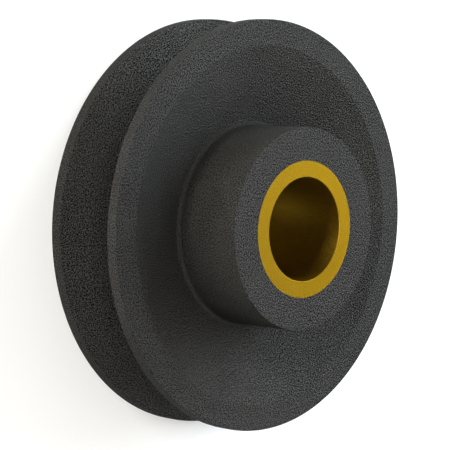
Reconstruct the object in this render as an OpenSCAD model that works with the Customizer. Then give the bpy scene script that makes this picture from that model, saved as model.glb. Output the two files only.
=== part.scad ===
// Idler pulley: a cast iron V-belt sheave with a bronze bushing pressed through its hub.
// It lies on its back face. The bore runs along Z and the long end of the hub points up.
// The origin is on the bore's axis, in the plane of the back face.

/* [Rim] */
// Outside diameter of both flanges
rim_d = 101.6; // [92:0.1:130]
// Width of the rim over both flanges
rim_w = 22.2; // [20.5:0.1:30]
// Radial width of the flat ring round each side of the rim
side_ring = 6.35; // [3:0.05:9]

/* [Groove] */
// Width of the belt groove at the outside diameter
groove_w = 16.3; // [14:0.1:18]
// Depth of the belt groove
groove_depth = 14.7; // [12:0.1:17]
// Included angle of the groove's two flanks
groove_angle = 34; // [30:0.5:40]
// Corner radius at the bottom of the groove
groove_root_r = 1.5; // [0.5:0.1:2]

/* [Hub] */
// Diameter of the hub
hub_d = 49.5; // [42:0.1:56]
// Length of hub that stands out past the front of the rim
hub_projection = 12.7; // [4:0.1:25]
// Fillet where the hub meets the dished side
hub_fillet = 0.9; // [0.3:0.05:2.5]
// Radius that breaks the casting's outer corners
edge_break = 0.15; // [0.1:0.05:0.6]

/* [Bushing] */
// Bore of the bushing, the size of the stud that it turns on
bore_d = 25.4; // [16:0.1:28]
// Wall of the bushing
bushing_wall = 3.97; // [2:0.01:5]
// Radial gap between the bushing and its seat in the hub, 0 for the press fit
seat_gap = 0; // [0:0.005:0.05]
// Chamfer at both ends of the bushing's bore
bore_chamfer = 0.1; // [0.1:0.05:0.8]

/* [Hidden] */

// Steps round a full turn, and along each rounded corner of a section
$fn = 180;
corner_steps = 6;

rim_r = rim_d / 2;
hub_r = hub_d / 2;
bore_r = bore_d / 2;
bushing_r = bore_r + bushing_wall;
seat_r = bushing_r + seat_gap;
hub_l = rim_w + hub_projection;

// Each flange is an even wall, so its dished side runs parallel to the groove's flank
flank_slope = tan(groove_angle / 2);
land_w = (rim_w - groove_w) / 2;
root_r = rim_r - groove_depth;
root_inset = land_w + groove_depth * flank_slope;
ring_r = rim_r - side_ring;
dish_depth = (ring_r - hub_r) * flank_slope;

iron = [0.27, 0.275, 0.275];
bronze = [0.66, 0.53, 0.12];

function unit(v) = v / norm(v);

// Arc of radius r that rounds the corner between the points before and after it
function rounded(before, corner, after, r) =
    let (
        to_before = unit(before - corner),
        to_after = unit(after - corner),
        half_angle = acos(to_before * to_after) / 2,
        centre = corner + unit(to_before + to_after) * r / sin(half_angle),
        start = corner + to_before * r / tan(half_angle) - centre,
        finish = corner + to_after * r / tan(half_angle) - centre,
        turn = 180 - 2 * half_angle
    )
    [
        for (step = [0 : corner_steps])
            let (share = step / corner_steps)
            centre + (sin(turn * (1 - share)) * start + sin(turn * share) * finish) / sin(turn)
    ];

// Closed outline from corners written as [radius, height, rounding], where rounding 0 stays sharp
function outline(corners) =
    let (
        count = len(corners),
        point = [for (c = corners) [c[0], c[1]]]
    )
    [
        for (i = [0 : count - 1])
            each corners[i][2] > 0
                ? rounded(point[(i + count - 1) % count], point[i], point[(i + 1) % count], corners[i][2])
                : [point[i]]
    ];

// Half section of the casting, from the bore's back edge round the rim to its front edge
casting_corners = [
    [seat_r, 0, 0],
    [hub_r, 0, edge_break],
    [hub_r, dish_depth, hub_fillet],
    [ring_r, 0, edge_break],
    [rim_r, 0, edge_break],
    [rim_r, land_w, edge_break],
    [root_r, root_inset, groove_root_r],
    [root_r, rim_w - root_inset, groove_root_r],
    [rim_r, rim_w - land_w, edge_break],
    [rim_r, rim_w, edge_break],
    [ring_r, rim_w, edge_break],
    [hub_r, rim_w - dish_depth, hub_fillet],
    [hub_r, hub_l, edge_break],
    [seat_r, hub_l, 0],
];

// Half section of the bushing, flush with both ends of the hub
bushing_corners = [
    [bore_r + bore_chamfer, 0, 0],
    [bushing_r, 0, 0],
    [bushing_r, hub_l, 0],
    [bore_r + bore_chamfer, hub_l, 0],
    [bore_r, hub_l - bore_chamfer, 0],
    [bore_r, bore_chamfer, 0],
];

// One iron casting: two flanges, the web between them, and the hub
module pulley_casting() {
    color(iron)
        rotate_extrude()
            polygon(outline(casting_corners));
}

// Plain sleeve bearing, pressed into the hub
module bronze_bushing() {
    color(bronze)
        rotate_extrude()
            polygon(outline(bushing_corners));
}

pulley_casting();
bronze_bushing();
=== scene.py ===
"""Looks of an idler pulley: a sand-cast iron V-belt pulley with a bronze bushing, lying on its back.

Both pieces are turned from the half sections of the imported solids, so each keeps its solid's form.
Lengths are metres in the part's own frame, where Z is the bore's axis and the floor is at height 0.
"""
import math

import bpy
from mathutils import Matrix, Vector, kdtree, noise


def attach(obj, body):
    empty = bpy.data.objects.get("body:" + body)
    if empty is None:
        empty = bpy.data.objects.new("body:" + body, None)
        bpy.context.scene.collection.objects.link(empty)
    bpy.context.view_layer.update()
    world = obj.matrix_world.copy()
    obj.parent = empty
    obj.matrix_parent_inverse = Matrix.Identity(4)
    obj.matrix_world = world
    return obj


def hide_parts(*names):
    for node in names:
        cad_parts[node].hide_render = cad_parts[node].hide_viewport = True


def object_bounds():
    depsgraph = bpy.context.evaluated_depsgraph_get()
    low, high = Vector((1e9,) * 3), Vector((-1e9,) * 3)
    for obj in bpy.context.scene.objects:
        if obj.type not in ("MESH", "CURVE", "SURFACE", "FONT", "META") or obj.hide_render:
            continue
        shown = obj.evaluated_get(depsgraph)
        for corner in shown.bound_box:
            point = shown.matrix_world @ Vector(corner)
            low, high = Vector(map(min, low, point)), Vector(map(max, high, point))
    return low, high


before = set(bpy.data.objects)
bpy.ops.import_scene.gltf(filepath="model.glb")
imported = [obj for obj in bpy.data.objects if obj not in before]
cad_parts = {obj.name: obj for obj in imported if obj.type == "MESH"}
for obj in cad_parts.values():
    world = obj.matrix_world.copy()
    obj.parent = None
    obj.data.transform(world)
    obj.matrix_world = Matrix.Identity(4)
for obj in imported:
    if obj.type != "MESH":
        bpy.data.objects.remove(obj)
cad_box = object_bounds()

MM = 0.001

# Turning: steps round the axis, the longest steps along a section, and the least angle of a sharp edge
CASTING_SEGMENTS = 352
BUSHING_SEGMENTS = 256
SHOWN_STEP = 0.7 * MM
HIDDEN_STEP = 4 * MM
SHARP_ANGLE = math.radians(30)

# Reading a section: the spread of one ring's points, the spread about the radius of the seat or the hub,
# the depth below the rim that still counts as its land, and a length that clears a rounded edge
RING_TOLERANCE = 0.002 * MM
SEAM = 0.01 * MM
LAND_DEPTH = 0.1 * MM
EDGE_ROOM = 1 * MM

# Uneven cast skin in the mesh: width of its swells and dimples, and their depth below the true surface
SWELL_W = 5 * MM
DIMPLE_W = 1.9 * MM
SWELL_DEPTH = 0.012 * MM
DIMPLE_DEPTH = 0.008 * MM

# Noise in the materials: its turn about the bore's axis, the range that most of its values lie in,
# and the setting for noise of one width only
NOISE_TURN = (0, 0, 0.6)
NOISE_SPAN = (0.3, 0.7)
NO_DETAIL = {"Detail": 0}

# Sand grain of the iron, too fine for the mesh: the width and turn of each of its layers, its depth,
# and the square of a normal's Z below which a face counts as part of a cylinder
GRAIN_LAYERS = ((0.33 * MM, 0.6), (0.27 * MM, 1.3))
GRAIN_DEPTH = 0.7 * MM
CYLINDER_FACING = 0.5

# Share of the grain, 1 on most of the casting: it sets the contrast of the tint, and the relief up to
# FULL_RELIEF. It is more in the groove, where the stronger tint is partly painted glints and shade of
# light that grazes the grain. In the fillets it is less, and the skin there is rougher.
GRAIN_AND_GLINT_SHARE = "grain_and_glint_share"
GROOVE_GRAIN_AND_GLINTS = 1.25
FILLET_GRAIN = 0.4
FILLET_ROUGHNESS = 0.42
FILLET_SPAN = 0.75 * MM
FULL_RELIEF = 1.0

# Iron: dark and light ends of a tint that follows the grain and a slow mottle
MOTTLE_W = 9 * MM
MOTTLE_DETAIL = {"Detail": 4, "Roughness": 0.6}
MOTTLE_SHARE = 0.1
TINT_MIDDLE = 0.55
TINT_REACH = 0.17
IRON_DARK = (0.002, 0.002, 0.002, 1)
IRON_LIGHT = (0.0775, 0.0775, 0.0775, 1)
IRON_ROUGHNESS = (0.42, 0.52)
IRON_METAL = 0.55
IRON_SHINE = 0.0
IRON_EDGE = (0.47, 0.47, 0.47, 1)

# Bronze: satin ends and bore, with a fine grain and faint turning marks
BRONZE = (0.245, 0.149, 0.0165)
BRONZE_SHADE = (0.94, 1.06)
BRONZE_ROUGHNESS = (0.42, 0.52)
BRONZE_METAL = 1
BRONZE_SHEEN = (0.71, 0.52, 0.11, 1)
PORE_W = 0.36 * MM
PORE_DEPTH = 0.06 * MM
TURNING_W = 0.30 * MM
TURNING_WAVER = 0.4
TURNING_SHARE = 0.05

# Width of one ring of the wave texture at a scale of 1
WAVE_W = 0.31

# View, from the photograph: the axis is turned right and tipped down, and the middle of the
# rim's front face lies this many rim radii to the right, up and back from the camera
VIEW_YAW = math.radians(46.03)
VIEW_PITCH = math.radians(3.72)
RIM_IN_VIEW = Vector((0.2021, -0.0046, -10.357))
SENSOR_W = 36.0
LENS = 170.7

# Floor of pale paper with a faint tooth, and the even light from all round
FLOOR_SIZE = 8.0
FLOOR_COLOUR = (0.91, 0.925, 0.98, 1)
FLOOR_ROUGHNESS = (0.85, 0.95)
TOOTH_W = 4 * MM
TOOTH_DETAIL = {"Detail": 2}
WORLD_COLOUR = (1.0, 0.96, 0.90, 1)
WORLD_STRENGTH = 0.46

# Soft boxes that face the part, each by its azimuth and elevation about the bore's axis,
# its width and height, its power and its colour
LIGHT_DISTANCE = 1.2
SOFT_BOXES = [
    ("upper_right", 120, 27, 1.2, 0.5, 19.4, (0.89, 0.99, 1.0)),
    ("low_left", 240, 7, 0.35, 0.22, 12.8, (1.0, 0.96, 0.83)),
    ("front_left", 270, 52, 0.5, 0.5, 9.6, (1.0, 0.98, 0.89)),
    ("low_right", 90, 5, 1.1, 0.12, 7.6, (1.0, 0.98, 0.98)),
    ("low_top", 120, 5, 0.35, 0.12, 5.7, (0.74, 0.85, 1.0)),
]

# Lit panel that lies on the floor in front of the part and lights the rim from below
PANEL_DISTANCE = 0.18
PANEL_AZIMUTH = 257
PANEL_HEIGHT = 3 * MM
PANEL_SIZE = (0.20, 0.16)
PANEL_POWER = 0.4
PANEL_COLOUR = (1.0, 0.96, 0.73)

# Lamp on the floor inside the bore, for the light that comes in at its open back end
LAMP_DISTANCE = 7 * MM
LAMP_AZIMUTH = 324
LAMP_HEIGHT = 1 * MM
LAMP_TILT = math.radians(50)
LAMP_SIZE = (0.008, 0.008)
LAMP_SPREAD = math.radians(62)
LAMP_POWER = 0.00006
LAMP_COLOUR = (0.93, 1.0, 0.9)


def half_section(node):
    """The node's half section, as a closed list of (radius, height) points.

    Vertices with one radius and height make a ring, and the edges between rings give their order.
    """
    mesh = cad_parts[node].data
    spots = [Vector((math.hypot(v.co.x, v.co.y), v.co.z, 0)) for v in mesh.vertices]
    tree = kdtree.KDTree(len(spots))
    for index, spot in enumerate(spots):
        tree.insert(spot, index)
    tree.balance()
    rings = []
    ring_of = {}
    for index, spot in enumerate(spots):
        if index not in ring_of:
            for _, near, _ in tree.find_range(spot, RING_TOLERANCE):
                ring_of[near] = len(rings)
            rings.append((spot.x, spot.y))
    linked = {ring: set() for ring in range(len(rings))}
    for edge in mesh.edges:
        first, second = (ring_of[v] for v in edge.vertices)
        if first != second:
            linked[first].add(second)
            linked[second].add(first)
    loop = [rings.index(min(rings, key=lambda ring: (ring[1], ring[0])))]
    onward = max(linked[loop[0]], key=lambda ring: rings[ring][0])
    while onward != loop[0]:
        loop.append(onward)
        (onward,) = linked[onward] - {loop[-2]}
    return [rings[ring] for ring in loop]


def divided(section, step_at):
    """The section with its long stretches cut into even steps no longer than step_at(radius)."""
    points = []
    for start, end in zip(section, section[1:] + section[:1]):
        length = math.dist(start, end)
        middle_radius = (start[0] + end[0]) / 2
        count = max(1, math.ceil(length / step_at(middle_radius)))
        for step in range(count):
            share = step / count
            radius = start[0] + (end[0] - start[0]) * share
            height = start[1] + (end[1] - start[1]) * share
            points.append((radius, height))
    return points


def outward(section):
    """Unit normals at the section's points, as (radial, axial) pairs that point out of the solid."""
    normals = []
    count = len(section)
    for i, here in enumerate(section):
        before = section[i - 1]
        after = section[(i + 1) % count]
        leg_in = Vector((here[0] - before[0], here[1] - before[1])).normalized()
        leg_out = Vector((after[0] - here[0], after[1] - here[1])).normalized()
        along = (leg_in + leg_out).normalized()
        normals.append((along.y, -along.x))
    return normals


def inside_box(point):
    """The point, or the nearest one to it that lies inside the CAD box."""
    return Vector([min(max(value, low), high) for value, low, high in zip(point, *cad_box)])


def new_object(name, data):
    """An object that shows the data in the scene."""
    shown = bpy.data.objects.new(name, data)
    bpy.context.scene.collection.objects.link(shown)
    return shown


def turn(name, section, segments, sink=None, shares=None):
    """A closed mesh object turned from a section.

    sink(point) is how far a point lies below the true surface, and shares holds the grain's share
    at each point of the section.
    """
    vertices = []
    for (radius, height), (radial, axial) in zip(section, outward(section)):
        for segment in range(segments):
            angle = math.tau * segment / segments
            ray = Vector((math.cos(angle), math.sin(angle), 0))
            point = ray * radius + Vector((0, 0, height))
            if sink:
                point -= (ray * radial + Vector((0, 0, axial))) * sink(point)
            vertices.append(inside_box(point))
    faces = []
    count = len(section)
    for ring in range(count):
        low = ring * segments
        high = (ring + 1) % count * segments
        for segment in range(segments):
            following = (segment + 1) % segments
            faces.append((low + segment, low + following, high + following, high + segment))
    mesh = bpy.data.meshes.new(name)
    mesh.from_pydata(vertices, [], faces)
    mesh.shade_smooth()
    mesh.set_sharp_from_angle(angle=SHARP_ANGLE)
    if shares:
        values = [share for share in shares for _ in range(segments)]
        mesh.attributes.new(GRAIN_AND_GLINT_SHARE, "FLOAT", "POINT").data.foreach_set("value", values)
    return new_object(name, mesh)


def add(tree, kind, inputs=(), **settings):
    """A shader node with its settings. Its inputs are set to values or linked to nodes' outputs."""
    node = tree.nodes.new(kind)
    for name, value in settings.items():
        setattr(node, name, value)
    for name, value in dict(inputs).items():
        if isinstance(value, bpy.types.NodeSocket):
            tree.links.new(value, node.inputs[name])
        else:
            node.inputs[name].default_value = value
    return node


def new_material(name):
    """A new material, its node tree, and object coordinates for its noise."""
    material = bpy.data.materials.new(name)
    material.use_nodes = True
    tree = material.node_tree
    tree.nodes.clear()
    spot = add(tree, "ShaderNodeTexCoord").outputs["Object"]
    place = add(tree, "ShaderNodeMapping", {"Vector": spot, "Rotation": NOISE_TURN}).outputs[0]
    return material, tree, place


def end_in_shader(tree, inputs):
    """Ends a material's tree in a Principled shader with these inputs."""
    shader = add(tree, "ShaderNodeBsdfPrincipled", inputs).outputs[0]
    add(tree, "ShaderNodeOutputMaterial", {"Surface": shader})


def noise_at(tree, place, width, detail, dimensions="3D"):
    """Noise with features of a given width, and finer detail in them."""
    inputs = {"Vector": place, "Scale": 1 / width, **detail}
    return add(tree, "ShaderNodeTexNoise", inputs, noise_dimensions=dimensions).outputs["Fac"]


def ranged(tree, value, span, to_span):
    """A value carried from one range to another, and held at its ends."""
    inputs = {"Value": value, "From Min": span[0], "From Max": span[1],
              "To Min": to_span[0], "To Max": to_span[1]}
    return add(tree, "ShaderNodeMapRange", inputs).outputs["Result"]


def math_of(tree, operation, *values):
    """The result of a Math node on one or two values."""
    return add(tree, "ShaderNodeMath", dict(enumerate(values)), operation=operation).outputs[0]


def mixed(tree, kind, share, first, second):
    """A mix of two numbers, of kind FLOAT, or of two colours, of kind RGBA."""
    inputs = {"Factor": share, "A": first, "B": second}
    return add(tree, "ShaderNodeMix", inputs, data_type=kind).outputs["Result"]


def skin_grain(tree):
    """The sand's grain: noise across the flat and dished sides, and round and along the cylinders."""
    spot = add(tree, "ShaderNodeTexCoord").outputs["Object"]
    x, y, z = add(tree, "ShaderNodeSeparateXYZ", {"Vector": spot}).outputs
    squares = math_of(tree, "ADD", math_of(tree, "MULTIPLY", x, x), math_of(tree, "MULTIPLY", y, y))
    angle = math_of(tree, "ARCTAN2", y, x)
    way_round = math_of(tree, "MULTIPLY", angle, math_of(tree, "SQRT", squares))
    normal = add(tree, "ShaderNodeNewGeometry").outputs["True Normal"]
    facing = add(tree, "ShaderNodeSeparateXYZ", {"Vector": normal}).outputs["Z"]
    on_cylinder = math_of(tree, "LESS_THAN", math_of(tree, "MULTIPLY", facing, facing), CYLINDER_FACING)
    first = mixed(tree, "FLOAT", on_cylinder, x, way_round)
    second = mixed(tree, "FLOAT", on_cylinder, y, z)
    flat = add(tree, "ShaderNodeCombineXYZ", {"X": first, "Y": second}).outputs[0]
    layers = []
    for width, turned in GRAIN_LAYERS:
        place = add(tree, "ShaderNodeMapping", {"Vector": flat, "Rotation": (0, 0, turned)}).outputs[0]
        layers.append(noise_at(tree, place, width, NO_DETAIL, "2D"))
    return math_of(tree, "DIVIDE", math_of(tree, "ADD", *layers), len(layers))


def cast_iron():
    """Dark sand-cast iron: an even grain of sand over a faintly mottled skin."""
    material, tree, place = new_material("cast_iron_skin")
    grain = skin_grain(tree)
    mottle = noise_at(tree, place, MOTTLE_W, MOTTLE_DETAIL)
    share = add(tree, "ShaderNodeAttribute", attribute_name=GRAIN_AND_GLINT_SHARE).outputs["Fac"]
    relief = math_of(tree, "MINIMUM", share, FULL_RELIEF)
    bump = add(tree, "ShaderNodeBump", {"Height": grain, "Distance": GRAIN_DEPTH, "Strength": relief})
    blotches = math_of(tree, "MULTIPLY", mottle, MOTTLE_SHARE)
    above_middle = math_of(tree, "SUBTRACT", math_of(tree, "ADD", grain, blotches), TINT_MIDDLE)
    # The share sets the tint's contrast, and in the groove the extra contrast is partly painted glints
    # and shade
    contrast = math_of(tree, "MULTIPLY", above_middle, share)
    tint = ranged(tree, contrast, (-TINT_REACH, TINT_REACH), (0, 1))
    rougher = ranged(tree, share, (FILLET_GRAIN, 1), (FILLET_ROUGHNESS, 0))
    end_in_shader(tree, {
        "Base Color": mixed(tree, "RGBA", tint, IRON_DARK, IRON_LIGHT),
        "Metallic": IRON_METAL,
        "Roughness": math_of(tree, "ADD", ranged(tree, mottle, NOISE_SPAN, IRON_ROUGHNESS), rougher),
        "Specular IOR Level": IRON_SHINE,
        "Specular Tint": IRON_EDGE,
        "Normal": bump.outputs[0],
    })
    return material


def bearing_bronze():
    """Golden bearing bronze with a fine grain and faint turning marks."""
    material, tree, place = new_material("bearing_bronze")
    grain = noise_at(tree, place, PORE_W, NO_DETAIL)
    rings = {"Vector": place, "Scale": WAVE_W / TURNING_W, "Distortion": TURNING_WAVER}
    turning = add(tree, "ShaderNodeTexWave", rings, wave_type="RINGS", rings_direction="Z")
    marks = math_of(tree, "MULTIPLY", turning.outputs["Fac"], TURNING_SHARE)
    height = math_of(tree, "ADD", grain, marks)
    bump = add(tree, "ShaderNodeBump", {"Height": height, "Distance": PORE_DEPTH})
    shade = ranged(tree, grain, NOISE_SPAN, BRONZE_SHADE)
    toned = add(tree, "ShaderNodeVectorMath", {0: BRONZE, "Scale": shade}, operation="SCALE")
    end_in_shader(tree, {
        "Base Color": toned.outputs[0],
        "Metallic": BRONZE_METAL,
        "Roughness": ranged(tree, grain, NOISE_SPAN, BRONZE_ROUGHNESS),
        "Specular Tint": BRONZE_SHEEN,
        "Normal": bump.outputs[0],
    })
    return material


def floor_paper():
    """Pale backdrop paper with a faint tooth."""
    material, tree, place = new_material("floor_paper")
    tooth = noise_at(tree, place, TOOTH_W, TOOTH_DETAIL)
    roughness = ranged(tree, tooth, NOISE_SPAN, FLOOR_ROUGHNESS)
    end_in_shader(tree, {"Base Color": FLOOR_COLOUR, "Roughness": roughness})
    return material


def area_light(name, place, turned, size, power, colour):
    """A rectangular area light."""
    data = bpy.data.lights.new(name, "AREA")
    data.shape = "RECTANGLE"
    data.size, data.size_y = size
    data.energy = power
    data.color = colour
    light = new_object(name, data)
    light.location = place
    light.rotation_euler = turned
    return light


def on_floor(distance, azimuth, height, tilt=0):
    """Place and turn of a floor light that faces up, or leans by its tilt toward the bore's axis."""
    way = math.radians(azimuth)
    place = (distance * math.cos(way), distance * math.sin(way), height)
    return place, (math.pi - tilt, 0, way + math.pi / 2)


# Sizes of the solids
casting_section = half_section("pulley_casting")
bushing_section = half_section("bronze_bushing")
RIM_R = max(radius for radius, height in casting_section)
SEAT_R = min(radius for radius, height in casting_section)
RIM_FRONT = max(height for radius, height in casting_section if radius > RIM_R - EDGE_ROOM)
HUB_R = max(radius for radius, height in casting_section if height > RIM_FRONT + EDGE_ROOM)


def casting_step(radius):
    """Short steps where the casting shows, long ones on the seat behind the bushing."""
    return HIDDEN_STEP if radius < SEAT_R + SEAM else SHOWN_STEP


def bushing_step(radius):
    """Short steps on the ends and in the bore, long ones on the pressed wall."""
    return HIDDEN_STEP if radius > SEAT_R - SEAM else SHOWN_STEP


def skin_depth(point):
    """How far the uneven cast skin lies below the true surface, none on the machined seat."""
    if math.hypot(point.x, point.y) < SEAT_R + SEAM:
        return 0
    swell = (1 + noise.noise(point / SWELL_W)) / 2
    dimple = (1 + noise.noise(point / DIMPLE_W)) / 2
    return SWELL_DEPTH * swell + DIMPLE_DEPTH * dimple


def grain_and_glint_shares(section):
    """The grain's share at each point of the section: most in the groove, least in the fillets."""
    lands = [i for i, (radius, height) in enumerate(section) if radius > RIM_R - LAND_DEPTH]
    shares = []
    for i, (radius, height) in enumerate(section):
        # In the groove the extra share is partly painted glints and shade on the grain
        if lands[0] < i < lands[-1] and i not in lands:
            shares.append(GROOVE_GRAIN_AND_GLINTS)
        elif HUB_R + SEAM < radius < HUB_R + FILLET_SPAN:
            shares.append(FILLET_GRAIN)
        else:
            shares.append(1)
    return shares


def dress(piece, material, node):
    """Gives a piece its material and its place on the part."""
    piece.data.materials.append(material)
    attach(piece, "root")
    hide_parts(node)


# Pieces
casting_outline = divided(casting_section, casting_step)
casting_shares = grain_and_glint_shares(casting_outline)
casting = turn("pulley_casting_skin", casting_outline, CASTING_SEGMENTS, skin_depth, casting_shares)
dress(casting, cast_iron(), "pulley_casting")
bushing_outline = divided(bushing_section, bushing_step)
bushing = turn("bronze_bushing_sleeve", bushing_outline, BUSHING_SEGMENTS)
dress(bushing, bearing_bronze(), "bronze_bushing")

# Floor
half = FLOOR_SIZE / 2
floor_corners = [(-half, -half, 0), (half, -half, 0), (half, half, 0), (-half, half, 0)]
floor_mesh = bpy.data.meshes.new("floor")
floor_mesh.from_pydata(floor_corners, [], [(0, 1, 2, 3)])
floor_mesh.materials.append(floor_paper())
floor = new_object("floor", floor_mesh)

# Camera
axis_in_view = Vector((math.sin(VIEW_YAW) * math.cos(VIEW_PITCH), -math.sin(VIEW_PITCH),
                       math.cos(VIEW_YAW) * math.cos(VIEW_PITCH)))
away_in_view = Vector((math.cos(VIEW_YAW), 0, -math.sin(VIEW_YAW)))
down_in_view = away_in_view.cross(axis_in_view)
part_from_view = Matrix((down_in_view, away_in_view, axis_in_view))
rim_middle = Vector((0, 0, RIM_FRONT))

camera_data = bpy.data.cameras.new("camera")
camera_data.sensor_width = SENSOR_W
camera_data.lens = LENS
camera = new_object("camera", camera_data)
camera_place = rim_middle - part_from_view @ (RIM_IN_VIEW * RIM_R)
camera.matrix_world = Matrix.Translation(camera_place) @ part_from_view.to_4x4()
bpy.context.scene.camera = camera

# Light
for name, azimuth, elevation, width, height, power, colour in SOFT_BOXES:
    rise = math.radians(elevation)
    toward = Matrix.Rotation(math.radians(azimuth), 3, "Z") @ Vector((math.cos(rise), 0, math.sin(rise)))
    turned = toward.to_track_quat("Z", "Y").to_euler()
    area_light(name, rim_middle + toward * LIGHT_DISTANCE, turned, (width, height), power, colour)

panel_place, panel_turned = on_floor(PANEL_DISTANCE, PANEL_AZIMUTH, PANEL_HEIGHT)
panel = area_light("floor_panel", panel_place, panel_turned, PANEL_SIZE, PANEL_POWER, PANEL_COLOUR)
panel.visible_camera = False

lamp_place, lamp_turned = on_floor(LAMP_DISTANCE, LAMP_AZIMUTH, LAMP_HEIGHT, LAMP_TILT)
lamp = area_light("bore_lamp", lamp_place, lamp_turned, LAMP_SIZE, LAMP_POWER, LAMP_COLOUR)
lamp.data.spread = LAMP_SPREAD
lamp.visible_camera = False

world = bpy.data.worlds.new("studio")
world.use_nodes = True
background = world.node_tree.nodes["Background"]
background.inputs["Color"].default_value = WORLD_COLOUR
background.inputs["Strength"].default_value = WORLD_STRENGTH
bpy.context.scene.world = world
bpy.context.scene.view_settings.view_transform = "Standard"
